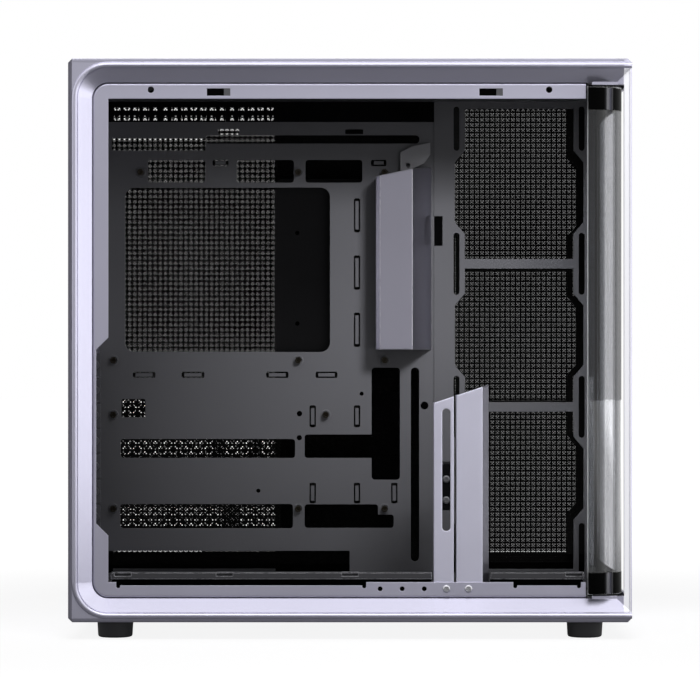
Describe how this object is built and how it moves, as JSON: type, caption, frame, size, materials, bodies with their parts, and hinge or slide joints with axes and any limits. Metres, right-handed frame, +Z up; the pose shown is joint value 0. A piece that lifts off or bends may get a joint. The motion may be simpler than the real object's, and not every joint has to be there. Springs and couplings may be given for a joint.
{
  "type": "computer case",
  "caption": "Dual-chamber desktop computer case with a bent glass front corner, perforated tray and side, card holder and its left panel off",
  "frame": {"origin": "on the floor under the middle of the case's box", "axes": "+Z up, -Y out of the open left side, +X towards the front glass"},
  "size_m": [0.44, 0.285, 0.454],
  "materials": {
    "lilac_paint": "satin powder coat, lilac silver",
    "dark_paint": "fine textured gunmetal powder coat",
    "pane": "clear tempered glass with polished edges",
    "black_trim": "black satin",
    "black_plastic": "moulded black frame and mesh",
    "grey_plastic": "moulded grey",
    "plated_steel": "nickel plated",
    "dark_screw": "black zinc plated",
    "brass_standoff": "turned brass",
    "circuit_board": "solder resist",
    "foot_rubber": "black rubber"
  },
  "bodies": {
    "chassis": {"side_frame": "lilac_paint", "top_cover": "lilac_paint", "bottom_cover": "lilac_paint", "rear_panel": "lilac_paint", "right_panel": "lilac_paint", "panel_screws": "plated_steel", "front_glass": "pane", "glass_top_strip": "black_trim", "glass_bottom_strip": "black_trim", "front_column": "lilac_paint", "chassis_top": "dark_paint", "chassis_bottom": "dark_paint", "opening_flange": "lilac_paint", "catch_clips": "grey_plastic", "motherboard_tray": "dark_paint", "standoffs": "brass_standoff", "fan_bracket": "dark_paint", "side_filter": "black_plastic", "bottom_rail": "dark_paint", "top_filter": "black_plastic", "bottom_filter": "black_plastic", "cable_cover": "lilac_paint", "cover_bracket": "dark_paint", "holder_rail": "lilac_paint", "holder_plate": "lilac_paint", "holder_screws": "plated_steel", "slot_covers": "dark_paint", "slot_screws": "dark_screw", "drive_bracket": "dark_paint", "psu_rails": "dark_paint", "io_board": "circuit_board", "port_sockets": "plated_steel", "foot_back_left": "foot_rubber", "foot_back_right": "foot_rubber", "foot_front_left": "foot_rubber", "foot_front_right": "foot_rubber"},
    "arm": {"support_arm": "black_trim", "arm_screws": "dark_screw"},
    "button": {"power_button": "plated_steel"}
  },
  "joints": [
    {"name": "arm_height", "type": "slide", "parent": "chassis", "child": "arm", "axis": [0, 0, 1], "range_m": [-0.02, 0.05]},
    {"name": "button_press", "type": "slide", "parent": "chassis", "child": "button", "axis": [1, 0, 0], "range_m": [-0.0012, 0], "stiffness_N_per_m": 1500, "springref_m": 0.0004}
  ]
}
